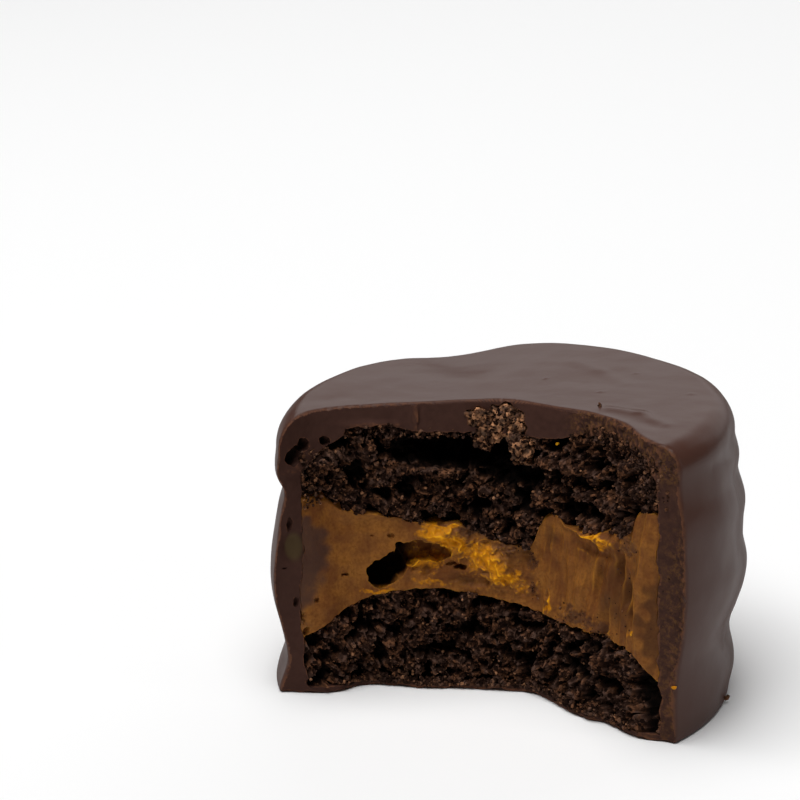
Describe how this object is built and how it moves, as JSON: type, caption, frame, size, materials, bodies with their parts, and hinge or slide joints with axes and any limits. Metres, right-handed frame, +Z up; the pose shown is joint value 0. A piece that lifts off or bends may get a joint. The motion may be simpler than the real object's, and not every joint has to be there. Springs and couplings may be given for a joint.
{
  "type": "alfajor cookie",
  "caption": "Tall round chocolate-dipped alfajor with a bite taken out of its front, showing soft dark cakes and a thick caramel filling.",
  "frame": {"origin": "centre of the flat underside, on the surface that the cookie rests on", "axes": "+Z up, -Y towards the bitten front, +X to the right seen from the front"},
  "size_m": [0.0596, 0.0456, 0.0374],
  "materials": {
    "chocolate": "satin dark chocolate coating",
    "cake": "matt porous cocoa cake crumb",
    "caramel": "soft satin milk caramel"
  },
  "bodies": {
    "root": {"chocolate_coat": "chocolate", "upper_cake": "cake", "caramel_filling": "caramel", "lower_cake": "cake"}
  },
  "joints": []
}
